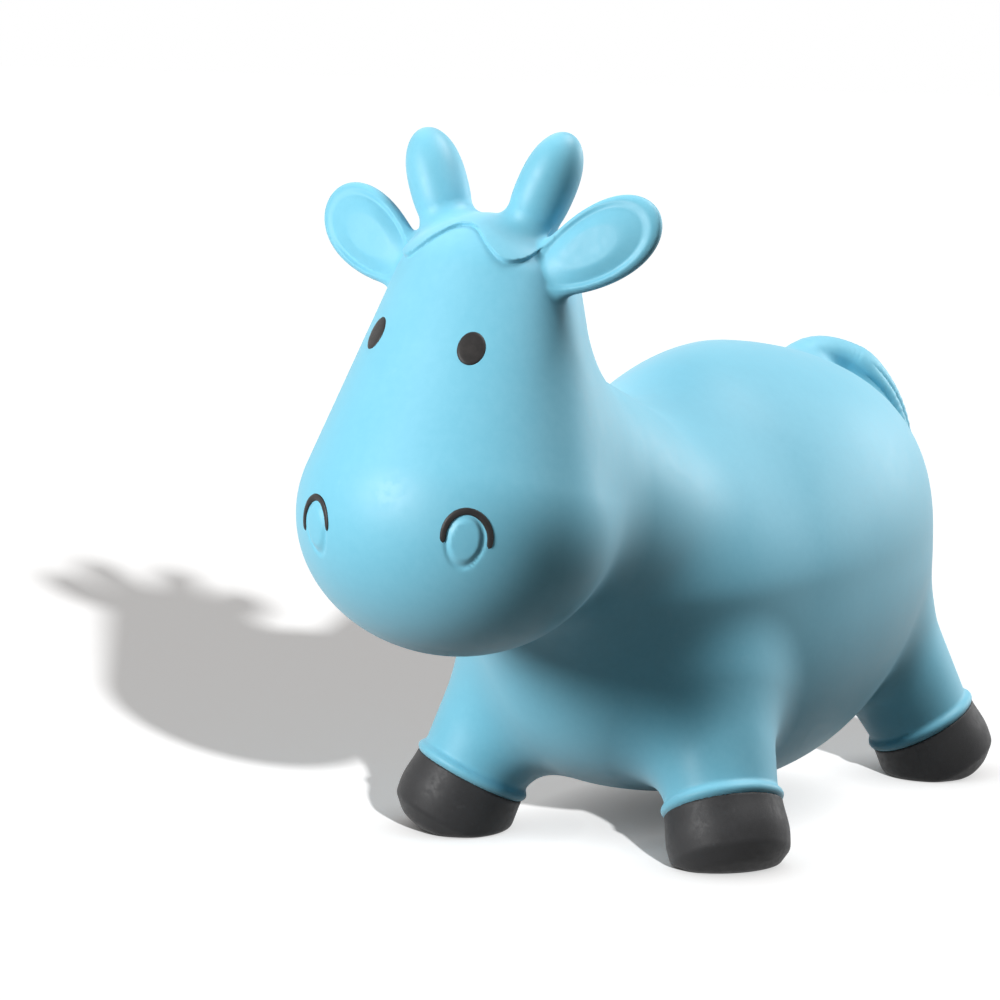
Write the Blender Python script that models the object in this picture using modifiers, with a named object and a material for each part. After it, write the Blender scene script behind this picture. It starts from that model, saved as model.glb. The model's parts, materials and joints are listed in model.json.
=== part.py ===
# Bouncy ride-on cow: a hollow inflated vinyl skin on four short legs, split into pieces along
# the lines where the skin flexes, with dipped hooves, painted eyes and nostril lines, and an
# air valve low on the rump. Metres, +Z up. The cow faces -Y, its left side is +X, and the origin
# is on the floor below the middle of its length.
import math

import bmesh
import bpy
from mathutils import Matrix, Vector

# Skin and fits
WALL = 0.0024
SEAT_GAP = 0.0003
FLEX_GAP = 0.0008
WELD = 0.00001

# Barrel of the body, a rounded form with its middle at BODY_Y, BODY_Z
BODY_WIDTH = 0.262
BODY_LENGTH = 0.438
BODY_HEIGHT = 0.310
BODY_FULLNESS = 2.2
WITHERS_FULLNESS = 1.05
RUMP_FULLNESS = 2.4
CHEST_FULLNESS = 3.2
BELLY_FULLNESS = 1.3
BODY_Y = 0.101
BODY_Z = 0.1755

# Head, a pear between the poll and the muzzle, wider than it is deep
POLL_Y = -0.198
POLL_Z = 0.384
POLL_RADIUS = 0.054
MUZZLE_Y = -0.235
MUZZLE_Z = 0.249
MUZZLE_RADIUS = 0.089
HEAD_STRETCH = 1.20
HEAD_STATIONS = (0.2, 0.4, 0.6, 0.8)

# Neck, from the nod pivot inside the chest to a seat on the head's axis below the poll
NOD_PIVOT_Y = -0.033
NOD_PIVOT_Z = 0.195
NECK_SEAT = 0.085
NECK_REACH = 0.078
NECK_RADIUS = 0.086
NECK_HEAD_RADIUS = 0.082
CHEST_RADIUS = 0.101
CHEST_RISE = 0.020
CHEST_DEPTH = 0.080
NECK_TUCK = 0.6
NECK_BORE_TUCK = 0.4
NECK_STATIONS = (0.3, 0.6)

# Legs, splayed from the hip pivots to the feet
FRONT_FOOT_X = 0.115
FRONT_FOOT_Y = -0.072
REAR_FOOT_X = 0.102
REAR_FOOT_Y = 0.279
HIP_Z = 0.108
SPLAY_OUT = 0.043
SPLAY_AWAY = 0.037
LEG_REACH = 0.060
LEG_RADIUS = 0.042
ANKLE_RADIUS = 0.0385
HIP_RADIUS = 0.048
HIP_RISE = 0.012
HIP_DEPTH = 0.050
BEAD_HEIGHT = 0.006
BEAD_PROUD = 0.0022
BEAD_FLAT = 0.4

# Roots of the neck and legs: shares along the taper to the flex line, and how soon it narrows
ROOT_STATIONS = (0.25, 0.5, 0.75)
ROOT_CURVE = 1.6

# Fillets where the roots melt into the barrel, and the neck into the head: how far from the crease
# they start
NECK_MELT = 0.042
LEG_MELT = 0.030
HEAD_MELT = 0.040
NECK_SWELL = 0.75
MELT_END = 0.98

# Hooves, cups over the ends of the legs, with a flat sole and a rounded lower edge
HOOF_HEIGHT = 0.042
HOOF_TOP_RADIUS = 0.0400
HOOF_RADIUS = 0.0418
HOOF_FLARE = 0.5
HOOF_SKIN = 0.002
SOLE_RADIUS = 0.022
SOLE_ROUND = 0.024

# Horns, round stubs on the poll
HORN_ROOT = Vector((0.51, 0.04, 0.87)).normalized()
HORN_AXIS = Vector((0.38, 0.14, 0.91)).normalized()
HORN_SINK = 0.014
HORN_REACH = 0.026
HORN_BASE_RADIUS = 0.0162
HORN_TIP_RADIUS = 0.0178
HORN_LENGTH = 0.079

# Ears, flat paddles with a dished front
EAR_ROOT = Vector((0.86, -0.26, 0.38)).normalized()
EAR_AXIS = Vector((0.84, 0.22, 0.49)).normalized()
EAR_FACE = Vector((0.25, -0.92, 0.30)).normalized()
EAR_SINK = 0.008
EAR_REACH = 0.022
EAR_LENGTH = 0.098
EAR_WIDTH = 0.051
EAR_THICKNESS = 0.015
EAR_FLARE = 0.22
EAR_DISH = 0.005
EAR_DISH_SPREAD = 0.6
EAR_ROOT_DEPTH = 0.006

# Eyes, painted ovals on the pear: drop below the poll along the head's axis and turn from its front
LEFT_EYE_DROP = 0.0405
LEFT_EYE_TURN = math.radians(23.5)
RIGHT_EYE_DROP = 0.0305
RIGHT_EYE_TURN = math.radians(37)
EYE_WIDTH = 0.018
EYE_HEIGHT = 0.023
EYE_PROUD = 0.0012

# Nostril lines, painted arches in a groove of the muzzle
NOSTRIL_DROP = 0.160
NOSTRIL_TURN = math.radians(33)
NOSTRIL_WIDTH = 0.029
NOSTRIL_RISE = 0.017
NOSTRIL_SWEEP = math.radians(112)
NOSTRIL_LINE = 0.004
NOSTRIL_PROUD = 0.0012

# Tail, laid over the rump to the left; its stations are shares of the barrel's half sizes
TAIL_ROOT = Vector((0.02, 0.62, 0.93))
TAIL_BEND = Vector((0.20, 0.86, 0.92))
TAIL_TIP = Vector((0.46, 0.88, 0.44))
TAIL_RADIUS = 0.014
TAIL_TIP_RADIUS = 0.004
TAIL_LIFT = 0.0165
TAIL_ARCH = 0.58
TAIL_DIP = 4

# Air valve low on the rump, between the hind legs; its place is in shares of the barrel's half sizes
VALVE_PLACE = Vector((0.0, 0.86, -0.50))
VALVE_RADIUS = 0.013
VALVE_BOSS_RADIUS = 0.0205
VALVE_BOSS = 0.005
VALVE_FLANGE_RADIUS = 0.018
VALVE_FLANGE = 0.002
VALVE_DEPTH = 0.016
PLUG_RADIUS = 0.0055
PLUG_LENGTH = 0.012
PLUG_CAP_RADIUS = 0.011
PLUG_CAP = 0.003

# Facets round each turned form
BARREL_SEGMENTS = 36
HEAD_SEGMENTS = 28
NECK_SEGMENTS = 24
LEG_SEGMENTS = 20
HORN_SEGMENTS = 20
EAR_SEGMENTS = 20
INNER_SEGMENTS = 20
SMALL_SEGMENTS = 14
BALL_SEGMENTS = 44
ARC_STEPS = 5
HEAD_ARC_STEPS = 8
NOSTRIL_STEPS = 18
TAIL_STEPS = 10

VINYL_BLUE = (0.21, 0.60, 0.78, 1.0)
HOOF_BLACK = (0.025, 0.026, 0.028, 1.0)
PAINT_BROWN = (0.020, 0.013, 0.011, 1.0)
VALVE_WHITE = (0.80, 0.82, 0.80, 1.0)

POLL = Vector((0, POLL_Y, POLL_Z))
MUZZLE = Vector((0, MUZZLE_Y, MUZZLE_Z))
HEAD_AXIS = (MUZZLE - POLL).normalized()
HEAD_SPAN = (MUZZLE - POLL).length
HEAD_LEAN = math.asin((MUZZLE_RADIUS - POLL_RADIUS) / HEAD_SPAN)
HEAD_FRONT = HEAD_AXIS.cross(Vector((1, 0, 0))).normalized()
NOD_PIVOT = Vector((0, NOD_PIVOT_Y, NOD_PIVOT_Z))
NECK_AXIS = (POLL + HEAD_AXIS * NECK_SEAT - NOD_PIVOT).normalized()
NECK_SPAN = (POLL + HEAD_AXIS * NECK_SEAT - NOD_PIVOT).length
BODY_CENTER = Vector((0, BODY_Y, BODY_Z))
BODY_HALF = Vector((BODY_WIDTH / 2, BODY_LENGTH / 2, BODY_HEIGHT / 2))


def clear_scene():
    for item in list(bpy.data.objects):
        bpy.data.objects.remove(item, do_unlink=True)


def add_collection(name):
    collection = bpy.data.collections.new(name)
    bpy.context.scene.collection.children.link(collection)
    return collection


def add_material(name, color, roughness):
    material = bpy.data.materials.new(name)
    material.use_nodes = True
    shader = material.node_tree.nodes["Principled BSDF"]
    shader.inputs["Base Color"].default_value = color
    shader.inputs["Roughness"].default_value = roughness
    shader.inputs["Metallic"].default_value = 0.0
    return material


def add_object(name, mesh, collection, material=None):
    item = bpy.data.objects.new(name, mesh)
    collection.objects.link(item)
    if material:
        mesh.materials.append(material)
    else:
        item.hide_render = True
        item.display_type = "WIRE"
    return item


def add_pivot(name, point):
    pivot = bpy.data.objects.new(name, None)
    pivot.empty_display_size = WALL
    pivot.location = point
    parts.objects.link(pivot)
    return pivot


def attach(item, pivot):
    item.parent = pivot
    item.location -= pivot.location


def point_along(item, origin, axis):
    item.location = origin
    item.rotation_euler = axis.to_track_quat("Z", "Y").to_euler()


def turned(name, profile, origin, axis, segments, collection, material=None, stretch=1.0):
    """Turn a profile of (radius, height) points, outer side from top to bottom, about an axis."""
    mesh = bpy.data.meshes.new(name)
    edges = [(i, i + 1) for i in range(len(profile) - 1)]
    if profile[0][0] > 0:
        edges.append((len(profile) - 1, 0))
    mesh.from_pydata([(radius, 0, height) for radius, height in profile], edges, [])
    item = add_object(name, mesh, collection, material)
    screw = item.modifiers.new("turn", "SCREW")
    screw.steps = segments
    screw.render_steps = segments
    screw.use_merge_vertices = True
    screw.merge_threshold = WELD
    screw.use_smooth_shade = True
    point_along(item, origin, axis)
    item.scale.x = stretch
    return item


def arc(radius, height, center, start, end, steps):
    """Points of an elliptic arc about (0, center), with angles measured from the level radius."""
    points = []
    for step in range(steps + 1):
        angle = start + (end - start) * step / steps
        points.append((radius * math.cos(angle), center + height * math.sin(angle)))
    return points


def on_axis(points):
    """Put the first and the last point of a profile on the axis."""
    return [(0, points[0][1])] + points[1:-1] + [(0, points[-1][1])]


def baked(item):
    """Mesh of an object with its modifiers in it."""
    graph = bpy.context.evaluated_depsgraph_get()
    return bpy.data.meshes.new_from_object(item.evaluated_get(graph))


def bake(item):
    item.data = baked(item)
    item.modifiers.clear()


def cut(item, operation, operand):
    boolean = item.modifiers.new(operation.lower(), "BOOLEAN")
    boolean.operation = operation
    boolean.solver = "EXACT"
    if isinstance(operand, bpy.types.Collection):
        boolean.operand_type = "COLLECTION"
        boolean.collection = operand
    else:
        boolean.object = operand


def ball(name, center, radius, segments, collection, material=None):
    mesh = bpy.data.meshes.new(name)
    shape = bmesh.new()
    bmesh.ops.create_uvsphere(shape, u_segments=segments, v_segments=segments // 2, radius=radius)
    shape.to_mesh(mesh)
    shape.free()
    mesh.shade_smooth()
    item = add_object(name, mesh, collection, material)
    item.location = center
    return item


def body_share(direction, inset=0.0):
    """Point of the barrel's surface in a direction given in shares of its half sizes."""
    half = BODY_HALF - Vector((inset, inset, inset))
    level = (abs(direction[0]) ** BODY_FULLNESS + abs(direction[1]) ** BODY_FULLNESS) ** (1 / BODY_FULLNESS)
    ends = (WITHERS_FULLNESS, RUMP_FULLNESS) if direction[2] > 0 else (CHEST_FULLNESS, BELLY_FULLNESS)
    length = math.sqrt(sum(share * share for share in direction))
    upright = ends[0] + (ends[1] - ends[0]) * (1 + direction[1] / length) / 2
    norm = (level ** upright + abs(direction[2]) ** upright) ** (1 / upright)
    return Vector(share / norm * size for share, size in zip(direction, half))


def body_normal(direction):
    """Outward direction of the barrel's surface, from two short steps along it."""
    step = 0.001
    across = body_share(direction + Vector((step, 0, 0))) - body_share(direction - Vector((step, 0, 0)))
    along = body_share(direction + Vector((0, step, 0))) - body_share(direction - Vector((0, step, 0)))
    normal = across.cross(along).normalized()
    return normal if normal.dot(body_share(direction)) > 0 else -normal


def melt_rise(gap, spread):
    """Height of a fillet over one surface, at a gap from the other."""
    if gap >= spread:
        return 0.0
    return (math.sqrt(spread) - math.sqrt(max(gap, spread / 4))) ** 2


def melt_fade(share):
    """The fillet runs out at the flex line, where the share along the taper is one."""
    return 1 - max(0.0, share) ** 2 if share < MELT_END else 0.0


def root_radius(root, share):
    return root["rim"] + (root["hip"] - root["rim"]) * (1 - share) ** ROOT_CURVE


def root_swell(point, root):
    """Rise of the barrel's skin at a point where it melts into a root."""
    offset = point - root["origin"]
    height = offset.dot(root["axis"])
    radius = (offset - root["axis"] * height).length
    share = (root["rise"] - height) / (root["rise"] + root["reach"])
    if share < 0:
        dome = math.hypot(radius / root["hip"], (height - root["rise"]) / root["depth"])
        gap = (dome - 1) * root["hip"]
    else:
        gap = radius - root_radius(root, min(share, 1.0))
    return melt_rise(gap, root["melt"]) * melt_fade(share)


def skin_point(direction, inset=0.0):
    """Point of the barrel's skin with its fillets, from the barrel's middle."""
    place = body_share(direction, inset)
    outer = BODY_CENTER + body_share(direction)
    return place + body_normal(direction) * max(root_swell(outer, root) for root in limb_roots())


def barrel(name, inset, segments, collection, material=None):
    item = ball(name, BODY_CENTER, 1.0, segments, collection, material)
    for vertex in item.data.vertices:
        share = vertex.co.normalized()
        # The poles of the ball lie along the cow, so that its rings run round the barrel
        vertex.co = skin_point(Vector((share.x, share.z, -share.y)), inset)
    return item


def limb_roots():
    roots = [{"name": "neck_root", "origin": NOD_PIVOT, "axis": -NECK_AXIS, "reach": NECK_REACH,
              "rim": NECK_RADIUS, "hip": CHEST_RADIUS, "rise": CHEST_RISE, "depth": CHEST_DEPTH,
              "melt": NECK_MELT, "segments": NECK_SEGMENTS}]
    for name, hip, foot in leg_places():
        roots.append({"name": name + "_root", "origin": hip, "axis": (hip - foot).normalized(),
                      "reach": LEG_REACH, "rim": LEG_RADIUS, "hip": HIP_RADIUS, "rise": HIP_RISE,
                      "depth": HIP_DEPTH, "melt": LEG_MELT, "segments": LEG_SEGMENTS})
    return roots


def root_form(root, inset, collection):
    """Swelling root of a limb: a dome, a taper to the rim, and a ball end about the pivot."""
    reach, rim, rise = root["reach"], root["rim"], root["rise"]
    top = arc(root["hip"] - inset, root["depth"] - inset, rise, math.pi / 2, 0, ARC_STEPS)
    taper = [(root_radius(root, share) - inset, rise + (-reach - rise) * share) for share in ROOT_STATIONS]
    flex = math.hypot(reach, rim)
    if inset:
        end = [(rim - inset, -reach), (rim - inset, -flex - inset), (0, -flex - inset)]
    else:
        ball_end = flex - FLEX_GAP
        end = arc(ball_end, ball_end, 0, -math.atan2(reach, rim), -math.pi / 2, ARC_STEPS)
    segments = INNER_SEGMENTS if inset else root["segments"]
    form = turned(root["name"], on_axis(top + taper + end), root["origin"], root["axis"], segments,
                  collection)
    bake(form)
    turn = form.rotation_euler.to_matrix()
    for vertex in form.data.vertices:
        share = (rise - vertex.co.z) / (rise + reach)
        radius = vertex.co.xy.length
        if share < 0 or radius < WELD:
            continue
        outward = Vector((vertex.co.x, vertex.co.y, 0)) / radius
        offset = turn @ (vertex.co + outward * inset) + root["origin"] - BODY_CENTER
        direction = Vector(size / half for size, half in zip(offset, BODY_HALF))
        gap = offset.length - body_share(direction).length
        vertex.co += outward * melt_rise(gap, root["melt"]) * melt_fade(share)
    return form


def pear_profile(inset):
    poll = POLL_RADIUS - inset
    muzzle = MUZZLE_RADIUS - inset
    top = arc(poll, poll, 0, math.pi / 2, HEAD_LEAN, HEAD_ARC_STEPS)
    low = arc(muzzle, muzzle, -HEAD_SPAN, HEAD_LEAN, -math.pi / 2, HEAD_ARC_STEPS)
    side = [top[-1], low[0]]
    middle = [tuple(a + (b - a) * share for a, b in zip(*side)) for share in HEAD_STATIONS]
    return on_axis(top + middle + low)


def pear_point(drop, turn, proud=0.0):
    """Point on the pear, by its drop along the head's axis and its turn from the front."""
    from_muzzle = drop - HEAD_SPAN
    if drop < -POLL_RADIUS * math.sin(HEAD_LEAN):
        radius = math.sqrt(POLL_RADIUS ** 2 - drop ** 2)
        slope = -drop / POLL_RADIUS
    elif from_muzzle > -MUZZLE_RADIUS * math.sin(HEAD_LEAN):
        radius = math.sqrt(MUZZLE_RADIUS ** 2 - from_muzzle ** 2)
        slope = -from_muzzle / MUZZLE_RADIUS
    else:
        radius = (POLL_RADIUS + drop * math.sin(HEAD_LEAN)) / math.cos(HEAD_LEAN)
        slope = math.sin(HEAD_LEAN)
    side = Vector((math.sin(turn), 0, 0)) + HEAD_FRONT * math.cos(turn)
    point = HEAD_AXIS * drop + side * radius
    normal = side * math.sqrt(1 - slope ** 2) - HEAD_AXIS * slope
    normal.x /= HEAD_STRETCH
    point.x *= HEAD_STRETCH
    normal.normalize()
    return POLL + point + normal * proud, normal


def mirrored(vector, side):
    return Vector((vector.x * side, vector.y, vector.z))


def poll_point(direction, sink):
    point = direction * (POLL_RADIUS - sink)
    point.x *= HEAD_STRETCH
    return POLL + point


def facing(axis, face):
    """Rotation with local Z along an axis and local -Y towards a face direction."""
    back = -(face - axis * face.dot(axis)).normalized()
    across = back.cross(axis)
    return Matrix((across, back, axis)).transposed().to_euler()


def make_body():
    skin = barrel("body_skin", 0.0, BARREL_SEGMENTS, parts, vinyl)
    for inset, group in ((0.0, body_outer), (WALL, body_inner)):
        for root in limb_roots():
            root_form(root, inset, group)
    cut(skin, "UNION", body_outer)
    cut(skin, "DIFFERENCE", body_inner)


def leg_places():
    places = []
    for end, foot_x, foot_y, away in (("front", FRONT_FOOT_X, FRONT_FOOT_Y, -1),
                                      ("rear", REAR_FOOT_X, REAR_FOOT_Y, 1)):
        for side_name, side in (("left", 1), ("right", -1)):
            foot = Vector((side * foot_x, foot_y, 0))
            hip = foot - Vector((side * SPLAY_OUT, away * SPLAY_AWAY, -HIP_Z))
            places.append((end + "_" + side_name, hip, foot))
    return places


def sole_bowl(name, foot, inset):
    """Upright bowl that gives a foot its flat sole and rounded lower edge."""
    wide = HOOF_RADIUS * 2
    tall = HIP_Z + HIP_DEPTH
    bowl = [(0, tall), (wide, tall), (wide, HOOF_HEIGHT)]
    bowl += [(SOLE_RADIUS + radius, height) for radius, height in
             arc(SOLE_ROUND - inset, SOLE_ROUND - inset, SOLE_ROUND, 0, -math.pi / 2, ARC_STEPS)]
    bowl.append((0, inset))
    return turned(name, bowl, foot, Vector((0, 0, 1)), LEG_SEGMENTS, cutters)


def make_leg(name, hip, foot):
    axis = (hip - foot).normalized()
    length = (hip - foot).length
    below = -length - HOOF_RADIUS
    flex = math.hypot(LEG_REACH, LEG_RADIUS)
    inner = LEG_RADIUS - WALL
    foot_radius = HOOF_TOP_RADIUS - HOOF_SKIN - SEAT_GAP
    hoof_top = -(length - HOOF_HEIGHT)
    bead_low = hoof_top + SEAT_GAP
    pivot = add_pivot(name + "_hip", hip)

    rim = arc(flex, flex, 0, -math.pi / 2, -math.atan2(LEG_REACH, LEG_RADIUS), ARC_STEPS)
    leg = on_axis(rim + [(ANKLE_RADIUS, bead_low + BEAD_HEIGHT),
                         (ANKLE_RADIUS + BEAD_PROUD, bead_low + BEAD_HEIGHT * (1 + BEAD_FLAT) / 2),
                         (ANKLE_RADIUS + BEAD_PROUD, bead_low + BEAD_HEIGHT * (1 - BEAD_FLAT) / 2),
                         (foot_radius, bead_low), (foot_radius, below), (0, below)])
    leg_skin = turned(name + "_leg", leg, hip, axis, LEG_SEGMENTS, parts, vinyl)
    attach(leg_skin, pivot)
    cut(leg_skin, "INTERSECT", sole_bowl(name + "_foot_bowl", foot, HOOF_SKIN + SEAT_GAP))
    cavity = [(0, 0), (inner, 0), (inner, -LEG_REACH), (foot_radius - WALL, hoof_top),
              (foot_radius - WALL, below), (0, below)]
    hollow = turned(name + "_cavity", cavity, hip, axis, INNER_SEGMENTS, cutters)
    cut(hollow, "INTERSECT", sole_bowl(name + "_cavity_bowl", foot, HOOF_SKIN + SEAT_GAP + WALL))
    cut(leg_skin, "DIFFERENCE", hollow)

    hoof = [(0, hoof_top), (HOOF_TOP_RADIUS, hoof_top), (HOOF_RADIUS, hoof_top - HOOF_HEIGHT * HOOF_FLARE),
            (HOOF_RADIUS, below), (0, below)]
    hoof_cup = turned(name + "_hoof", hoof, hip, axis, LEG_SEGMENTS, parts, black)
    attach(hoof_cup, pivot)
    cut(hoof_cup, "INTERSECT", sole_bowl(name + "_hoof_bowl", foot, 0.0))
    cup = foot_radius + SEAT_GAP
    sock = turned(name + "_sock", [(0, 0), (cup, 0), (cup, below), (0, below)], hip, axis,
                  LEG_SEGMENTS, cutters)
    cut(sock, "INTERSECT", sole_bowl(name + "_sock_bowl", foot, HOOF_SKIN))
    cut(hoof_cup, "DIFFERENCE", sock)


def pear_gap(point):
    offset = point - POLL
    offset.x /= HEAD_STRETCH
    drop = offset.dot(HEAD_AXIS)
    radius = (offset - HEAD_AXIS * drop).length
    seat = min(max(drop + radius * math.tan(HEAD_LEAN), 0.0), HEAD_SPAN)
    return math.hypot(drop - seat, radius) - POLL_RADIUS - (MUZZLE_RADIUS - POLL_RADIUS) * seat / HEAD_SPAN


def sleeve_share(height):
    """Share up the neck, from the flex line to the start of its round top."""
    return (height - NECK_REACH) / (NECK_SPAN - NECK_HEAD_RADIUS - NECK_REACH)


def sleeve_gap(point):
    offset = point - NOD_PIVOT
    height = offset.dot(NECK_AXIS)
    radius = (offset - NECK_AXIS * height).length
    share = sleeve_share(height)
    if share > 1:
        return math.hypot(radius, height - NECK_SPAN + NECK_HEAD_RADIUS) - NECK_HEAD_RADIUS, share
    return radius - NECK_RADIUS - (NECK_HEAD_RADIUS - NECK_RADIUS) * share, share


def pear(name, inset, collection, material=None):
    """The head's pear, with the fillet that runs into the neck."""
    item = turned(name, pear_profile(inset), POLL, -HEAD_AXIS, HEAD_SEGMENTS, collection, material,
                  HEAD_STRETCH)
    bake(item)
    turn = item.rotation_euler.to_matrix()
    for vertex, normal in [(vertex, vertex.normal.copy()) for vertex in item.data.vertices]:
        point = vertex.co + normal * inset
        gap, share = sleeve_gap(POLL + turn @ Vector((point.x * HEAD_STRETCH, point.y, point.z)))
        vertex.co += normal * melt_rise(gap, HEAD_MELT) * melt_fade(1 - share)
    return item


def neck_sleeve(inset, collection):
    neck_top = NECK_SPAN - NECK_HEAD_RADIUS
    top = arc(NECK_HEAD_RADIUS - inset, NECK_HEAD_RADIUS - inset, neck_top, math.pi / 2, 0, ARC_STEPS)
    low = NECK_BORE_TUCK if inset else NECK_TUCK
    side = [top[-1], (NECK_RADIUS - inset, NECK_REACH)]
    middle = [tuple(a + (b - a) * share for a, b in zip(*side)) for share in NECK_STATIONS]
    sleeve = top + middle + [side[1], ((NECK_RADIUS - inset) * low, NECK_REACH * low), (0, NECK_REACH * low)]
    segments = INNER_SEGMENTS if inset else NECK_SEGMENTS
    form = turned("neck_sleeve", on_axis(sleeve), NOD_PIVOT, NECK_AXIS, segments, collection)
    bake(form)
    turn = form.rotation_euler.to_matrix()
    for vertex in form.data.vertices:
        share = sleeve_share(vertex.co.z)
        radius = vertex.co.xy.length
        if share > 1 or radius < WELD:
            continue
        outward = Vector((vertex.co.x, vertex.co.y, 0)) / radius
        gap = pear_gap(turn @ (vertex.co + outward * inset) + NOD_PIVOT)
        vertex.co += outward * melt_rise(gap, HEAD_MELT) * melt_fade(1 - share) * NECK_SWELL


def make_head():
    pivot = add_pivot("nod_pivot", NOD_PIVOT)
    skin = pear("head_skin", 0.0, parts, vinyl)
    pear("head_cavity", WALL, head_inner)
    for inset, group in ((0.0, head_outer), (WALL, head_inner)):
        neck_sleeve(inset, group)
    ball("neck_ball", NOD_PIVOT, math.hypot(NECK_REACH, NECK_RADIUS), BALL_SEGMENTS, head_cuts)
    cut(skin, "UNION", head_outer)
    cut(skin, "DIFFERENCE", head_inner)
    cut(skin, "DIFFERENCE", head_cuts)
    attach(skin, pivot)
    return pivot


def make_horn(name, side, nod):
    origin = poll_point(mirrored(HORN_ROOT, side), HORN_SINK)
    axis = mirrored(HORN_AXIS, side)
    flex = math.hypot(HORN_REACH, HORN_BASE_RADIUS)
    bore = HORN_BASE_RADIUS - WALL
    tip = HORN_LENGTH - HORN_TIP_RADIUS
    inner_tip = HORN_TIP_RADIUS - WALL
    inside = arc(inner_tip, inner_tip, tip, math.pi / 2, 0, ARC_STEPS)
    outside = arc(HORN_TIP_RADIUS, HORN_TIP_RADIUS, tip, 0, math.pi / 2, ARC_STEPS)
    shell = inside + [(bore, math.sqrt(flex ** 2 - bore ** 2)), (HORN_BASE_RADIUS, HORN_REACH)]
    shell = on_axis(shell + outside)
    shell.reverse()
    pivot = add_pivot(name + "_pivot", origin)
    attach(pivot, nod)
    horn = turned(name, shell, origin, axis, HORN_SEGMENTS, parts, vinyl)
    horn.parent = pivot
    horn.location = (0, 0, 0)

    stub = arc(flex - FLEX_GAP, flex - FLEX_GAP, 0, math.pi / 2,
               math.atan2(HORN_REACH, HORN_BASE_RADIUS), ARC_STEPS)
    stub += [(HORN_BASE_RADIUS, 0), (HORN_BASE_RADIUS, -HORN_SINK), (0, -HORN_SINK)]
    turned(name + "_stub", on_axis(stub), origin, axis, HORN_SEGMENTS, head_outer)
    hole = [(0, flex + WALL), (bore, flex + WALL), (bore, -HORN_SINK - WALL), (0, -HORN_SINK - WALL)]
    turned(name + "_bore", hole, origin, axis, HORN_SEGMENTS, head_inner)


def ear_form(name, origin, axis, face, collection, material=None):
    item = ball(name, origin, 1.0, EAR_SEGMENTS, collection, material)
    for vertex in item.data.vertices:
        share = vertex.co.normalized()
        hollow = max(0.0, 1 - (share.x ** 2 + share.z ** 2) / EAR_DISH_SPREAD) if share.y < 0 else 0.0
        vertex.co = (share.x * EAR_WIDTH / 2 * (1 + EAR_FLARE * share.z),
                     share.y * EAR_THICKNESS / 2 + EAR_DISH * hollow,
                     EAR_LENGTH / 2 * (1 + share.z) - EAR_ROOT_DEPTH)
    item.rotation_euler = facing(axis, face)
    return item


def make_ear(name, side, nod):
    origin = poll_point(mirrored(EAR_ROOT, side), EAR_SINK)
    axis = mirrored(EAR_AXIS, side)
    face = mirrored(EAR_FACE, side)
    pivot = add_pivot(name + "_pivot", origin)
    attach(pivot, nod)
    ear = ear_form(name, origin, axis, face, parts, vinyl)
    ear.parent = pivot
    ear.location = (0, 0, 0)
    cut(ear, "DIFFERENCE", ball(name + "_ball", origin, EAR_REACH, HEAD_SEGMENTS, cutters))
    stub = ear_form(name + "_stub", origin, axis, face, head_outer)
    inside = ball(name + "_stub_ball", origin, EAR_REACH - FLEX_GAP, HEAD_SEGMENTS, cutters)
    cut(stub, "INTERSECT", inside)


def make_eye(name, side, nod):
    drop, turn = (LEFT_EYE_DROP, LEFT_EYE_TURN) if side > 0 else (RIGHT_EYE_DROP, -RIGHT_EYE_TURN)
    center, normal = pear_point(drop, turn)
    for part, gap in ((name, 0.0), (name + "_recess", SEAT_GAP)):
        collection = head_cuts if gap else parts
        item = ball(part, center, 1.0, SMALL_SEGMENTS, collection, None if gap else brown)
        half = Vector((EYE_WIDTH / 2 + gap, EYE_PROUD + gap, EYE_HEIGHT / 2 + gap))
        for vertex in item.data.vertices:
            vertex.co = vertex.co * half
        item.rotation_euler = facing(-(HEAD_AXIS - normal * HEAD_AXIS.dot(normal)).normalized(), normal)
        if not gap:
            attach(item, nod)


def make_nostril(name, side, nod):
    points = []
    center = pear_point(NOSTRIL_DROP, side * NOSTRIL_TURN)[0]
    reach = (center - POLL - HEAD_AXIS * NOSTRIL_DROP).length
    for step in range(NOSTRIL_STEPS + 1):
        sweep = NOSTRIL_SWEEP * (2 * step / NOSTRIL_STEPS - 1)
        drop = NOSTRIL_DROP - NOSTRIL_RISE * math.cos(sweep)
        turn = side * NOSTRIL_TURN + NOSTRIL_WIDTH / 2 * math.sin(sweep) / reach
        points.append(pear_point(drop, turn, NOSTRIL_PROUD)[0])
    for part, gap in ((name, 0.0), (name + "_groove", SEAT_GAP)):
        collection = head_cuts if gap else parts
        item = tube(part, points, [1.0] * len(points), NOSTRIL_LINE / 2 + gap, collection,
                    None if gap else brown)
        if not gap:
            attach(item, nod)


def tube(name, points, shares, radius, collection, material=None):
    """Round tube along points, as a welded mesh."""
    curve = bpy.data.curves.new(name + "_path", "CURVE")
    curve.dimensions = "3D"
    curve.bevel_depth = radius
    curve.bevel_resolution = 2
    curve.use_fill_caps = True
    spline = curve.splines.new("POLY")
    spline.points.add(len(points) - 1)
    for knot, point, share in zip(spline.points, points, shares):
        knot.co = (*point, 1)
        knot.radius = share
    path = bpy.data.objects.new(name + "_path", curve)
    bpy.context.scene.collection.objects.link(path)
    mesh = baked(path)
    shape = bmesh.new()
    shape.from_mesh(mesh)
    bmesh.ops.remove_doubles(shape, verts=shape.verts, dist=WELD)
    shape.to_mesh(mesh)
    shape.free()
    mesh.shade_smooth()
    mesh.materials.clear()
    item = add_object(name, mesh, collection, material)
    item.matrix_world = path.matrix_world
    bpy.data.objects.remove(path, do_unlink=True)
    return item


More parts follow.
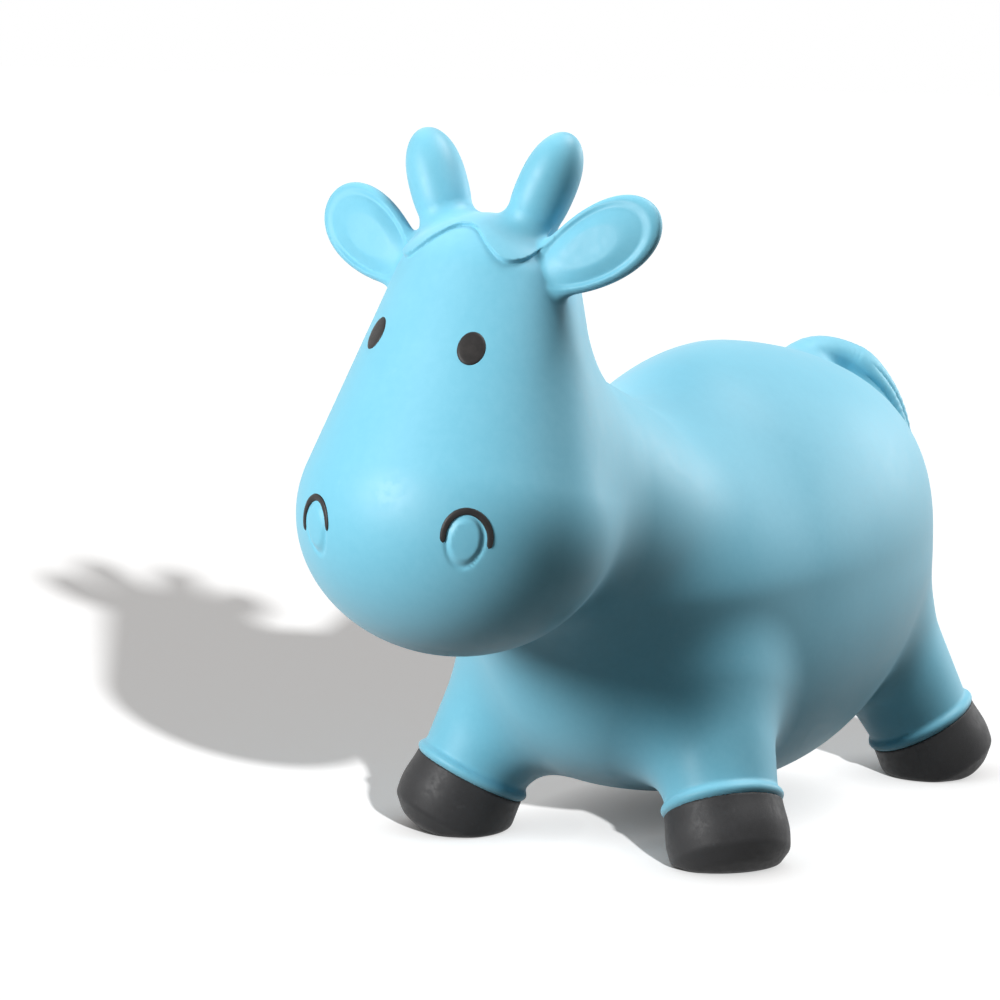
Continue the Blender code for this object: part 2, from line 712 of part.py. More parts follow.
def make_tail():
    points = []
    shares = []
    for step in range(TAIL_STEPS + 1):
        t = step / TAIL_STEPS
        share = TAIL_ROOT * (1 - t) ** 2 + TAIL_BEND * 2 * t * (1 - t) + TAIL_TIP * t ** 2
        lift = TAIL_LIFT * math.sin(math.pi * t ** TAIL_ARCH) - TAIL_RADIUS * (1 - t) ** TAIL_DIP
        radius = TAIL_RADIUS + (TAIL_TIP_RADIUS - TAIL_RADIUS) * t ** 2
        point = body_share(share)
        points.append(BODY_CENTER + point + point.normalized() * lift)
        shares.append(radius / TAIL_RADIUS)
    tail = tube("tail", points, shares, TAIL_RADIUS, parts, vinyl)
    cut(tail, "DIFFERENCE", barrel("tail_seat", -SEAT_GAP, BARREL_SEGMENTS, cutters))


def make_valve():
    axis = body_normal(VALVE_PLACE)
    mouth = BODY_CENTER + skin_point(VALVE_PLACE)
    bore = PLUG_RADIUS + SEAT_GAP
    hole_radius = VALVE_RADIUS + SEAT_GAP
    boss = [(0, VALVE_BOSS), (VALVE_BOSS_RADIUS, VALVE_BOSS), (VALVE_BOSS_RADIUS, -VALVE_BOSS),
            (0, -VALVE_BOSS)]
    cavity = barrel("body_cavity", WALL, BARREL_SEGMENTS, body_inner)
    cut(cavity, "DIFFERENCE", turned("valve_boss", boss, mouth, axis, SMALL_SEGMENTS, cutters))
    shelf = -VALVE_BOSS - SEAT_GAP
    hole = [(0, -shelf), (hole_radius, -shelf), (hole_radius, shelf * 2), (0, shelf * 2)]
    turned("valve_hole", hole, mouth, axis, SMALL_SEGMENTS, body_inner)
    seat = [(bore, 0), (VALVE_RADIUS, 0), (VALVE_RADIUS, shelf),
            (VALVE_FLANGE_RADIUS, shelf), (VALVE_FLANGE_RADIUS, shelf - VALVE_FLANGE),
            (VALVE_RADIUS, shelf - VALVE_FLANGE), (VALVE_RADIUS, -VALVE_DEPTH), (bore, -VALVE_DEPTH)]
    turned("valve_seat", seat, mouth, axis, SMALL_SEGMENTS, parts, white)
    plug = [(0, PLUG_CAP), (PLUG_CAP_RADIUS, PLUG_CAP), (PLUG_CAP_RADIUS, SEAT_GAP),
            (PLUG_RADIUS, SEAT_GAP), (PLUG_RADIUS, -PLUG_LENGTH), (0, -PLUG_LENGTH)]
    turned("valve_plug", plug, mouth, axis, SMALL_SEGMENTS, parts, white)


clear_scene()
parts = add_collection("bouncy_ride_on_cow")
cutters = add_collection("cutters")
body_outer = add_collection("body_outer_forms")
body_inner = add_collection("body_inner_forms")
head_outer = add_collection("head_outer_forms")
head_inner = add_collection("head_inner_forms")
head_cuts = add_collection("head_cuts")
vinyl = add_material("blue_vinyl", VINYL_BLUE, 0.45)
black = add_material("hoof_black", HOOF_BLACK, 0.55)
brown = add_material("eye_paint", PAINT_BROWN, 0.30)
white = add_material("valve_white", VALVE_WHITE, 0.40)

make_body()
for leg_name, leg_hip, leg_foot in leg_places():
    make_leg(leg_name, leg_hip, leg_foot)
nod_pivot = make_head()
for side_name, side_sign in (("left", 1), ("right", -1)):
    make_horn(side_name + "_horn", side_sign, nod_pivot)
    make_ear(side_name + "_ear", side_sign, nod_pivot)
    make_eye(side_name + "_eye", side_sign, nod_pivot)
    make_nostril(side_name + "_nostril_line", side_sign, nod_pivot)
make_tail()
make_valve()
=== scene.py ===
import json
import math

import bmesh
import bpy
import numpy as np
import openvdb
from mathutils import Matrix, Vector

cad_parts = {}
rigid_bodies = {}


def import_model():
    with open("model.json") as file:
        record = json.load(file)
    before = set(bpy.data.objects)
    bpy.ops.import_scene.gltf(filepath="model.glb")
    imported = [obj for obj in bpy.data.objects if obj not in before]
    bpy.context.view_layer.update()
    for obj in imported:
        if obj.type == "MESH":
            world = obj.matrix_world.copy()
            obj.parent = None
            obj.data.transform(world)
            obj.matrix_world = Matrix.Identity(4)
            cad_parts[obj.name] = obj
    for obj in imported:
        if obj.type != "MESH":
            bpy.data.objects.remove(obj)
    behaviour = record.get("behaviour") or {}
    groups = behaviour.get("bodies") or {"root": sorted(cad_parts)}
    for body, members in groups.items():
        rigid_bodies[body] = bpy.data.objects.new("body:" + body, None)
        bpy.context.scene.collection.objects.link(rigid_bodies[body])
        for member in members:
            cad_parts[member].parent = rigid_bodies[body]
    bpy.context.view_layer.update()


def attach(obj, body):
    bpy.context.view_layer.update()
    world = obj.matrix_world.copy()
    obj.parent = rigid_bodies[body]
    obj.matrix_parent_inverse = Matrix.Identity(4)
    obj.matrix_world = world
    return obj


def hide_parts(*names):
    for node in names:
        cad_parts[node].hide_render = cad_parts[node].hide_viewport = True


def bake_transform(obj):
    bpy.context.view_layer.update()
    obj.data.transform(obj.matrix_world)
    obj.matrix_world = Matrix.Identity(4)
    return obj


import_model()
print("frame loaded")

sides = (("left", 1), ("right", -1))  # the cow's own left is +X
tiny = 1e-6


# Each form of the inflated hide is a distance from points to it, in metres, negative inside.
def unit(v):
    v = np.asarray(v, float)
    return v / np.linalg.norm(v)


def units(rows):
    return rows / np.linalg.norm(rows, axis=1)[:, None]


def mirrored(v, sign):
    return np.array(v, float) * np.array((sign, 1, 1))


def melt(a, b, k):  # two forms run into each other
    h = np.maximum(k - np.abs(a - b), 0) / k
    return np.minimum(a, b) - h * h * k / 4


def trim(a, b, k):  # one form cut by another, with a rounded edge
    return -melt(-a, -b, k)


def ease(x, a, b):
    t = np.clip((x - a) / (b - a), 0, 1)
    return t * t * (3 - 2 * t)


def axial(q, axis):  # how far along an axis, and how far out from it
    along = q @ axis
    return along, np.sqrt(np.maximum((q * q).sum(1) - along * along, 0))


def taperRod(p, a, b, ra, rb):  # round bar between two balls
    a, b = np.asarray(a, float), np.asarray(b, float)
    ba = b - a
    l2 = ba @ ba
    rr = ra - rb
    a2 = l2 - rr * rr
    pa = p - a
    y = pa @ ba
    z = y - l2
    x2 = ((pa * l2 - y[:, None] * ba) ** 2).sum(1)
    y2 = y * y * l2
    z2 = z * z * l2
    k = np.sign(rr) * rr * rr * x2
    side = (np.sqrt(x2 * a2 / l2) + y * rr) / l2 - ra
    side = np.where(np.sign(y) * a2 * y2 < k, np.sqrt(x2 + y2) / l2 - ra, side)
    return np.where(np.sign(z) * a2 * z2 > k, np.sqrt(x2 + z2) / l2 - rb, side)


barrel = {
    "centre": (0, 0.101, 0.1755),
    "half": (0.131, 0.219, 0.155),
    "girth": 2.2,  # roundness of the level section
    "withers": 1.05,  # roundness of the upright section at its four quarters
    "rump": 2.4,
    "chest": 3.2,
    "belly": 1.3,
    "waist": 0.08,  # softness of the turn from the upper half to the lower
}
barrelCentre, barrelHalf = np.array(barrel["centre"]), np.array(barrel["half"])


def barrelNorm(q):
    girth, soft = barrel["girth"], barrel["waist"]
    level = (np.abs(q[:, 0]) ** girth + np.abs(q[:, 1]) ** girth) ** (1 / girth)
    front = np.where(q[:, 2] > 0, barrel["withers"], barrel["chest"])
    back = np.where(q[:, 2] > 0, barrel["rump"], barrel["belly"])
    length = np.maximum(np.linalg.norm(q, axis=1), tiny)
    power = front + (back - front) * (1 + q[:, 1] / length) / 2
    rise = (np.sqrt(q[:, 2] ** 2 + soft ** 2) - soft) / (math.sqrt(1 + soft ** 2) - soft)
    return np.maximum((level ** power + rise ** power) ** (1 / power), tiny)


def barrelGap(p):
    q = p - barrelCentre
    return np.linalg.norm(q, axis=1) * (1 - 1 / barrelNorm(q / barrelHalf))


def barrelPoint(share):
    q = np.asarray(share, float)[None]
    return barrelCentre + (q / barrelNorm(q)[:, None])[0] * barrelHalf


head = {
    "poll": (0, -0.198, 0.384),
    "muzzle": (0, -0.235, 0.249),
    "pollRadius": 0.054,
    "muzzleRadius": 0.089,
    "stretch": 1.20,  # wider than it is deep
    "melt": 0.040,  # how softly it runs into the neck
    "reliefLow": (-0.14, -0.36, 0.14),  # box round the forelock and the nostrils
    "reliefHigh": (0.14, -0.10, 0.49),
}
neck = {
    "pivot": (0, -0.033, 0.195),
    "seat": 0.085,  # drop of its upper end below the poll
    "high": 0.146,
    "lowRadius": 0.099,
    "highRadius": 0.082,
    "melt": 0.042,
    "cut": 0.062,  # where the hide is cut, and the run in which it bends
    "reach": 0.3,
    "bend": (0.066, 0.135),
}
poll, neckPivot = np.array(head["poll"]), np.array(neck["pivot"])
headAxis = unit(np.array(head["muzzle"]) - poll)
headFront = np.cross(headAxis, (1, 0, 0))
neckAxis = unit(poll + headAxis * neck["seat"] - neckPivot)


def pearGap(p):
    squeeze = np.array((1 / head["stretch"], 1, 1))
    return taperRod(p * squeeze, poll, head["muzzle"], head["pollRadius"], head["muzzleRadius"])


def neckGap(p):
    high = neckPivot + neckAxis * neck["high"]
    return taperRod(p, neckPivot, high, neck["lowRadius"], neck["highRadius"])


leg = {
    "front": (0.115, -0.072, -1),  # foot, and which way it leans along the cow
    "rear": (0.102, 0.279, 1),
    "hip": (0.043, 0.037, 0.108),
    "topRadius": 0.045,
    "ankleRadius": 0.0372,
    "tuck": 0.001,  # of the ankle inside the hoof's rim
    "end": 0.0926,
    "endCut": 0.006,
    "endRound": 0.003,
    "beadAt": 0.0764,
    "beadRadius": 0.0384,
    "bead": 0.0033,
    "beadMelt": 0.004,
    "melt": 0.030,
    "margin": 0.12,  # round the leg, for what is worked out only near it
    "lean": (0.55, 0.48, -0.68),  # line along which the hide bends with the leg
    "cut": 0.022,
    "reach": 0.12,
    "bend": (0.024, 0.055),
}


def legPlaces():
    places = []
    for end in ("front", "rear"):
        footX, footY, away = leg[end]
        for side, sign in sides:
            foot = np.array((sign * footX, footY, 0))
            hip = foot + np.array((-sign * leg["hip"][0], -away * leg["hip"][1], leg["hip"][2]))
            lean = unit(np.array(leg["lean"]) * np.array((sign, away, 1)))
            places.append({"name": end + "_" + side, "foot": foot, "hip": hip,
                           "axis": unit(foot - hip), "lean": lean, "sign": sign, "away": away})
    return places


legs = legPlaces()


def legGap(p, limb):
    end = limb["hip"] + limb["axis"] * leg["end"]
    gap = taperRod(p, limb["hip"], end, leg["topRadius"], leg["ankleRadius"] - leg["tuck"])
    along, out = axial(p - limb["hip"], limb["axis"])
    ring = np.hypot(out - leg["beadRadius"], along - leg["beadAt"]) - leg["bead"]
    gap = melt(gap, ring, leg["beadMelt"])
    return trim(gap, along - leg["end"] + leg["endCut"], leg["endRound"])


def rootAndAxis(form, sign):  # of a horn or an ear
    return mirrored(form["root"], sign), unit(mirrored(form["axis"], sign))


horn = {
    "root": (0.0243, -0.1964, 0.4185),
    "axis": (0.3815, 0.1406, 0.9136),
    "baseRadius": 0.0156,
    "bellyRadius": 0.0190,
    "bellyAt": 0.52,  # share of the length
    "length": 0.081,
    "capPower": 2.4,  # bluntness of the end
    "melt": 0.011,
    "margin": 0.05,
    "cut": 0.0225,
    "reach": 0.026,
    "bend": (0.023, 0.064),
}


def hornGap(p, sign):
    root, axis = rootAndAxis(horn, sign)
    belly = root + axis * horn["length"] * horn["bellyAt"]
    shank = taperRod(p, root, belly, horn["baseRadius"], horn["bellyRadius"])
    q = p - belly
    along = q @ axis
    span = np.linalg.norm(q, axis=1)
    out = np.sqrt(np.maximum(span ** 2 - along ** 2, 0)) / horn["bellyRadius"]
    rise = np.abs(along / (horn["length"] * (1 - horn["bellyAt"])))
    norm = np.sqrt(out ** 2 + rise ** horn["capPower"])
    return np.minimum(shank, span * (1 - 1 / np.maximum(norm, tiny)))


ear = {
    "root": (0.0487, -0.2103, 0.4019),
    "axis": (0.8425, 0.2207, 0.4915),
    "face": (0.25, -0.92, 0.30),
    "middle": 0.040,
    "half": (0.0252, 0.0085, 0.049),  # of the width, thickness and length
    "length": 0.09,
    "flare": 0.22,
    "power": 2.6,  # fullness of the edge
    "hollow": 0.0046,
    "rim": (0.91, 0.74),  # shares of the outline where the hollow starts and is full
    "front": (0.0, 0.5),  # the hollow is on this side alone
    "lobe": 0.85,  # share of the hollow that its raised middle fills
    "lobeEdge": (0.76, 0.40),
    "melt": 0.010,
    "margin": 0.06,
    "cut": 0.021,
    "reach": 0.036,
    "bend": (0.0215, 0.072),
}


def earGap(p, sign):
    root, axis = rootAndAxis(ear, sign)
    face = mirrored(ear["face"], sign)
    face = unit(face - axis * (face @ axis))
    across = np.cross(face, axis)
    q = p - root
    along = (q @ axis - ear["middle"]) / ear["half"][2]
    wide = (q @ across) / (ear["half"][0] * (1 + ear["flare"] * np.clip(along, -1, 1)))
    deep = (q @ face) / ear["half"][1]
    plan = np.sqrt(along ** 2 + wide ** 2)
    power = ear["power"]
    norm = np.maximum((plan ** power + np.abs(deep) ** power) ** (1 / power), tiny)
    local = np.stack((wide * ear["half"][0], deep * ear["half"][1], along * ear["half"][2]), 1)
    gap = np.linalg.norm(local, axis=1) * (1 - 1 / norm)
    lobe = 1 - ear["lobe"] * ease(plan, *ear["lobeEdge"])
    return gap + ear["hollow"] * ease(plan, *ear["rim"]) * lobe * ease(deep, *ear["front"])


tail = {
    "root": (0.02, 0.62, 0.93),  # stations in shares of the barrel's half sizes
    "bend": (0.20, 0.86, 0.92),
    "tip": (0.46, 0.88, 0.44),
    "rootRadius": 0.0150,
    "slim": 0.18,  # share that it narrows by above the tuft
    "tuftRadius": 0.0150,
    "tuftFrom": 0.48,
    "tuftRun": (-0.06, 0.05),
    "tipRadius": 0.0050,
    "tipFrom": 0.5,
    "lift": 0.0180,
    "liftPower": 0.52,
    "sink": 0.014,  # of the root into the barrel
    "sinkPower": 4,
    "strands": 9,
    "strandDepth": 0.0013,
    "strandTwist": 2.2,
    "strandPower": 0.6,
    "strandRun": 0.14,
    "stations": 25,
    "melt": 0.010,
    "margin": 0.05,
    "skirt": 0.007,  # width of the rump's hide that is cut out with it
}


def layTail():
    root, bend, tip = (np.array(tail[name]) for name in ("root", "bend", "tip"))
    tuftFrom, tipFrom = tail["tuftFrom"], tail["tipFrom"]
    tuftStart, tuftFull = (tuftFrom + run for run in tail["tuftRun"])
    steps = np.linspace(0, 1, tail["stations"])
    points, radii = [], []
    for t in steps:
        point = barrelPoint(root * (1 - t) ** 2 + bend * 2 * t * (1 - t) + tip * t * t)
        lift = tail["lift"] * math.sin(math.pi * t ** tail["liftPower"])
        lift = lift - tail["sink"] * (1 - t) ** tail["sinkPower"]
        points.append(point + unit(point - barrelCentre) * lift)
        tuft = float(ease(np.array(t), tuftStart, tuftFull))
        body = tail["rootRadius"] * (1 - tail["slim"] * math.sin(math.pi * min(t / tuftFrom, 1)))
        past = max(0, (t - tipFrom) / (1 - tipFrom))
        end = tail["tuftRadius"] + (tail["tipRadius"] - tail["tuftRadius"]) * past ** 2
        radii.append(body + (end - body) * tuft)
    return {"t": steps, "points": np.array(points), "radii": np.array(radii)}


tailPath = layTail()


def tailGap(p):
    best = np.full(len(p), np.inf)
    along = np.zeros(len(p))
    turn = np.zeros(len(p))
    points, radii, steps = tailPath["points"], tailPath["radii"], tailPath["t"]
    for i in range(len(points) - 1):
        a, ab = points[i], points[i + 1] - points[i]
        share = np.clip((p - a) @ ab / (ab @ ab), 0, 1)
        away = p - a - share[:, None] * ab
        gap = np.linalg.norm(away, axis=1) - radii[i] - share * (radii[i + 1] - radii[i])
        up = unit(a - barrelCentre)
        across = np.cross(unit(ab), up)
        closer = gap < best
        best = np.where(closer, gap, best)
        along = np.where(closer, steps[i] + share * (steps[i + 1] - steps[i]), along)
        turn = np.where(closer, np.arctan2(away @ across, away @ up), turn)
    strands = np.abs(np.cos(turn * tail["strands"] / 2 + tail["strandTwist"] * along))
    tuft = ease(along, tail["tuftFrom"], tail["tuftFrom"] + tail["strandRun"])
    return best + tail["strandDepth"] * (1 - strands ** tail["strandPower"]) * tuft


valve = {
    "mouth": (0, 0.27065, 0.10500),
    "axis": (0, 0.77359, -0.63369),
    "bossRadius": 0.0200,
    "bossDepth": 0.008,
    "bossEdge": 0.003,
    "wellRadius": 0.0142,
    "wellFloor": -0.0008,
    "wellEdge": 0.0025,
    "melt": 0.006,
    "margin": 0.05,
    "patch": 0.034,  # of the hide that is cut out with the boss
}
valveMouth, valveAxis = np.array(valve["mouth"]), np.array(valve["axis"])


def bossGap(p):
    along, out = axial(p - valveMouth, valveAxis)
    boss = trim(out - valve["bossRadius"], along, valve["bossEdge"])
    boss = trim(boss, -along - valve["bossDepth"], valve["bossEdge"])
    return boss, np.maximum(out - valve["wellRadius"], valve["wellFloor"] - along)


def headPlace(p):  # drop below the poll along the head, and turn from its front
    q = p - poll
    return q @ headAxis, np.arctan2(q[:, 0] / head["stretch"], q @ headFront)


forelock = {
    "peak": -0.042,  # drops of the wavy edge below the poll, at the parting, lobes and ends
    "lobe": -0.0186,
    "end": -0.043,
    "lobeTurn": math.radians(38),
    "endTurn": math.radians(72),
    "lobePower": 1.5,
    "endPower": 1.8,
    "endRun": 1.4,  # how far past the ends the edge goes on falling
    "fade": (1.5, 2.2),
    "rise": 0.0030,
    "bevel": 0.0030,
}
nostril = {
    "drop": 0.1605,
    "turn": math.radians(32.6),
    "half": (0.0106, 0.0150),
    "spread": 1.08,
    "dome": 0.0009,
    "domeEdge": (1.0, 0.72),
    "groove": 0.0007,
    "grooveAt": 1.06,
    "grooveWidth": 0.13,
}


def headRelief(p):
    drop, turn = headPlace(p)
    side = np.abs(turn)
    lobeTurn, endTurn = forelock["lobeTurn"], forelock["endTurn"]
    wave = (1 - np.cos(math.pi * np.clip(side / lobeTurn, 0, 1))) / 2
    past = np.clip((side - lobeTurn) / (endTurn - lobeTurn), 0, forelock["endRun"])
    edge = forelock["peak"] + (forelock["lobe"] - forelock["peak"]) * wave ** forelock["lobePower"]
    edge = edge + (forelock["end"] - forelock["lobe"]) * past ** forelock["endPower"]
    lock = forelock["rise"] * ease(edge - drop, 0, forelock["bevel"])
    lock = lock * (1 - ease(side, *forelock["fade"]))
    across = (side - nostril["turn"]) * head["muzzleRadius"] * nostril["spread"] / nostril["half"][0]
    down = (drop - nostril["drop"]) / nostril["half"][1]
    ring = np.sqrt(across ** 2 + down ** 2)
    groove = np.exp(-((ring - nostril["grooveAt"]) / nostril["grooveWidth"]) ** 2)
    pad = nostril["dome"] * ease(ring, *nostril["domeEdge"]) - nostril["groove"] * groove
    return lock + pad * (np.cos(turn) > 0)


def near(p, low, high):
    return np.all((p > np.asarray(low)) & (p < np.asarray(high)), axis=1)


def boxOf(points, margin):
    points = np.asarray(points)
    return points.min(0) - margin, points.max(0) + margin


def hideGap(p):
    gap = melt(barrelGap(p), neckGap(p), neck["melt"])
    for limb in legs:
        spot = near(p, *boxOf((limb["hip"], limb["foot"]), leg["margin"]))
        gap[spot] = melt(gap[spot], legGap(p[spot], limb), leg["melt"])
    spot = near(p, *boxOf(tailPath["points"], tail["margin"]))
    gap[spot] = melt(gap[spot], tailGap(p[spot]), tail["melt"])
    spot = near(p, *boxOf((valveMouth,), valve["margin"]))
    boss, well = bossGap(p[spot])
    gap[spot] = trim(melt(gap[spot], boss, valve["melt"]), -well, valve["wellEdge"])
    face = pearGap(p)
    spot = near(p, head["reliefLow"], head["reliefHigh"])
    face[spot] -= headRelief(p[spot])
    for _, sign in sides:
        for form, gapOf in ((horn, hornGap), (ear, earGap)):
            root, axis = rootAndAxis(form, sign)
            spot = near(p, *boxOf((root, root + axis * form["length"]), form["margin"]))
            face[spot] = melt(face[spot], gapOf(p[spot], sign), form["melt"])
    return melt(gap, face, head["melt"])


cast = {
    "low": (-0.172, -0.352, -0.012),
    "high": (0.172, 0.352, 0.516),
    "voxel": 0.0036,
    "slab": 8,  # layers worked out at a time
    "probe": 0.0004,
    "rounds": 3,  # of drawing the points on to the surface
    "stride": 0.004,
    "leastSlope": 0.05,
}


def slope(gapOf, p):
    step = cast["probe"]
    parts = []
    for axis in range(3):
        shift = np.zeros(3)
        shift[axis] = step
        parts.append((gapOf(p + shift) - gapOf(p - shift)) / (2 * step))
    return np.stack(parts, 1)


def settle(gapOf, p, rounds=cast["rounds"]):  # draw points on to the surface
    stride = cast["stride"]
    for _ in range(rounds):
        g = slope(gapOf, p)
        size = np.maximum((g * g).sum(1), cast["leastSlope"])
        p = p - np.clip(gapOf(p), -stride, stride)[:, None] * g / size[:, None]
    return p


def castForm(gapOf, low, high, voxel):
    axes = [np.arange(a, b, voxel) for a, b in zip(low, high)]
    shape = [len(a) for a in axes]
    gaps = np.empty(shape, np.float32)
    flat = np.stack(np.meshgrid(axes[1], axes[2], indexing="ij"), -1).reshape(-1, 2)
    slab = cast["slab"]
    for i in range(0, shape[0], slab):
        xs = axes[0][i:i + slab]
        p = np.concatenate([np.column_stack((np.full(len(flat), x), flat)) for x in xs])
        gaps[i:i + slab] = gapOf(p).reshape(len(xs), shape[1], shape[2])
    grid = openvdb.FloatGrid()
    grid.copyFromArray(gaps)
    points, quads = grid.convertToQuads(isovalue=0.0)
    points = np.asarray(low) + points.astype(float) * voxel
    points = settle(gapOf, points)
    a, b, c = (points[quads[:, i]] for i in (0, 1, 2))
    facing = (np.cross(b - a, c - a) * slope(gapOf, (a + b + c) / 3)).sum(1)
    if np.median(facing) < 0:
        quads = quads[:, ::-1]
    return points, quads


def makeMesh(name, points, faces):
    mesh = bpy.data.meshes.new(name)
    mesh.from_pydata([tuple(p) for p in points], [], [tuple(int(i) for i in f) for f in faces])
    mesh.validate()
    return mesh


def place(name, data):
    item = bpy.data.objects.new(name, data)
    bpy.context.scene.collection.objects.link(item)
    return item


def meshPoints(mesh):
    co = np.empty(len(mesh.vertices) * 3)
    mesh.vertices.foreach_get("co", co)
    return co.reshape(-1, 3)


def refine(name, points, faces, gapOf, levels):  # finer faces, drawn on to the form, with its normals
    item = place(name + "_rough", makeMesh(name + "_rough", points, faces))
    if levels:
        finer = item.modifiers.new("finer", "SUBSURF")
        finer.subdivision_type = "SIMPLE"
        finer.levels = levels
        finer.render_levels = levels
    graph = bpy.context.evaluated_depsgraph_get()
    mesh = bpy.data.meshes.new_from_object(item.evaluated_get(graph))
    bpy.data.objects.remove(item)
    mesh.name = name
    co = meshPoints(mesh)
    if levels:
        free = np.ones(len(co), bool)  # the rim stays, so that neighbours keep meeting
        shape = bmesh.new()
        shape.from_mesh(mesh)
        free[[v.index for v in shape.verts if v.is_boundary]] = False
        shape.free()
        co[free] = settle(gapOf, co[free])
        mesh.vertices.foreach_set("co", co.ravel())
    mesh.shade_smooth()
    mesh.normals_split_custom_set_from_vertices(units(slope(gapOf, co)))
    return place(name, mesh)


points, quads = castForm(hideGap, cast["low"], cast["high"], cast["voxel"])
print("hide cast:", len(quads), "faces")

# The hide is cut into pieces along the lines where it bends.
cutting = {
    "tip": 0.09,  # length of the horns and ears, with room to spare
    "crownBelow": 0.002,  # the crown ends at this drop below the poll
    "crownOff": 0.030,
    "levels": {"body_hide": 0, "tail_hide": 2, "crown_hide": 2, "left_ear_hide": 2, "right_ear_hide": 2},
    "otherLevels": 1,
}
hideShape = bmesh.new()
hideVerts = [hideShape.verts.new(p) for p in points]
for quad in quads:
    hideShape.faces.new([hideVerts[i] for i in quad])
pieceLayer = hideShape.faces.layers.int.new("piece")
pieceNames = ["body_hide"]


def looseFaces():  # faces that no piece has taken yet, and their middles
    hideShape.faces.ensure_lookup_table()
    faces = [f for f in hideShape.faces if f[pieceLayer] == 0]
    return faces, np.array([f.calc_center_median() for f in faces])


def pick(faces, mask):
    return [faces[i] for i in np.nonzero(mask)[0]]


def takeFaces(name, faces):
    if name not in pieceNames:
        pieceNames.append(name)
    for f in faces:
        f[pieceLayer] = pieceNames.index(name)


def cutPiece(name, point, normal, end, reach):
    faces, middles = looseFaces()
    mine = pick(faces, taperRod(middles, point, end, reach, reach) < 0)
    edges = {e for f in mine for e in f.edges}
    verts = {v for f in mine for v in f.verts}
    bmesh.ops.bisect_plane(hideShape, geom=mine + list(edges) + list(verts), dist=tiny,
                           plane_co=Vector(point), plane_no=Vector(normal))
    faces, middles = looseFaces()
    close = taperRod(middles, point, end, reach, reach) < 0
    takeFaces(name, pick(faces, close & ((middles - point) @ normal > 0)))


faces, middles = looseFaces()
takeFaces("tail_hide", pick(faces, tailGap(middles) < tail["skirt"]))
bossSpan = np.linalg.norm(middles - valveMouth, axis=1)
takeFaces("valve_boss_hide", pick(faces, bossSpan < valve["patch"]))
for limb in legs:
    point = limb["hip"] + limb["lean"] * leg["cut"]
    cutPiece(limb["name"] + "_leg_hide", point, limb["lean"], limb["foot"], leg["reach"])
for side, sign in sides:
    for form, name in ((horn, "_horn_hide"), (ear, "_ear_hide")):
        root, axis = rootAndAxis(form, sign)
        tip = root + axis * cutting["tip"]
        cutPiece(side + name, root + axis * form["cut"], axis, tip, form["reach"])
faces, middles = looseFaces()
onCrown = headPlace(middles)[0] < cutting["crownBelow"]
takeFaces("crown_hide", pick(faces, onCrown & (np.abs(pearGap(middles)) < cutting["crownOff"])))
cutPiece("head_hide", neckPivot + neckAxis * neck["cut"], neckAxis, poll, neck["reach"])
hideShape.verts.index_update()
allPoints = settle(hideGap, np.array([v.co for v in hideShape.verts]))
pieceFaces = {name: [] for name in pieceNames}
for f in hideShape.faces:
    pieceFaces[pieceNames[f[pieceLayer]]].append([v.index for v in f.verts])
hideShape.free()


def pieceOf(name):
    faces = pieceFaces[name]
    used = sorted({i for f in faces for i in f})
    where = {old: new for new, old in enumerate(used)}
    levels = cutting["levels"].get(name, cutting["otherLevels"])
    return refine(name, allPoints[used], [[where[i] for i in f] for f in faces], hideGap, levels)


hide = {name: pieceOf(name) for name in pieceNames}
print("hide cut into", len(hide), "pieces")

hoof = {
    "top": -0.0420,  # along the leg, from the floor
    "topRadius": 0.0402,
    "radius": 0.0418,
    "flareEnd": -0.022,
    "soleWidth": 0.0385,
    "narrowEnd": 0.006,
    "soleAt": 0.008,
    "soleRadius": 0.075,
    "edge": 0.0022,
    "bevel": 0.0321,
    "bevelEdge": 0.0014,
    "floorEdge": 0.004,
    "topEdge": 0.0012,
    "low": (-0.075, -0.075, -0.006),
    "high": (0.075, 0.075, 0.075),
    "voxel": 0.0016,
}


def hoofGap(p):
    axis = legs[0]["axis"]
    along, out = axial(p, axis)
    flare, narrow = hoof["radius"] - hoof["topRadius"], hoof["radius"] - hoof["soleWidth"]
    wall = out - hoof["topRadius"] - flare * ease(along, hoof["top"], hoof["flareEnd"])
    wall = wall + narrow * ease(along, hoof["flareEnd"], hoof["narrowEnd"])
    middle = axis * (hoof["soleAt"] - hoof["soleRadius"])
    sole = np.linalg.norm(p - middle, axis=1) - hoof["soleRadius"]
    gap = trim(wall, sole, hoof["edge"])
    gap = trim(gap, (out + along - hoof["bevel"]) * math.sqrt(0.5), hoof["bevelEdge"])
    gap = trim(gap, -p[:, 2], hoof["floorEdge"])
    return trim(gap, hoof["top"] - along, hoof["topEdge"])


hoofPoints, hoofQuads = castForm(hoofGap, hoof["low"], hoof["high"], hoof["voxel"])


def makeHoof(limb):  # cast once, and mirrored to each foot
    turn = np.array((limb["sign"], -limb["away"], 1))
    faces = hoofQuads if limb["sign"] * limb["away"] < 0 else hoofQuads[:, ::-1]

    def gapHere(p):
        return hoofGap((p - limb["foot"]) * turn)
    return refine(limb["name"] + "_hoof_coat", hoofPoints * turn + limb["foot"], faces, gapHere, 0)


hooves = {limb["name"]: makeHoof(limb) for limb in legs}
print("hooves cast:", len(hoofQuads), "faces each")

paintedFace = {
    "length": 0.142,  # from the poll to the muzzle
    "rounds": 8,
}


def facePoint(drop, turn):  # a point on the face
    wider = (head["muzzleRadius"] - head["pollRadius"]) * drop / paintedFace["length"]
    side = np.array((math.sin(turn) * head["stretch"], 0, 0)) + headFront * math.cos(turn)
    point = poll + headAxis * drop + side * (head["pollRadius"] + wider)
    return settle(hideGap, point[None], paintedFace["rounds"])[0]


def faceNormal(p):
    return units(slope(hideGap, p))


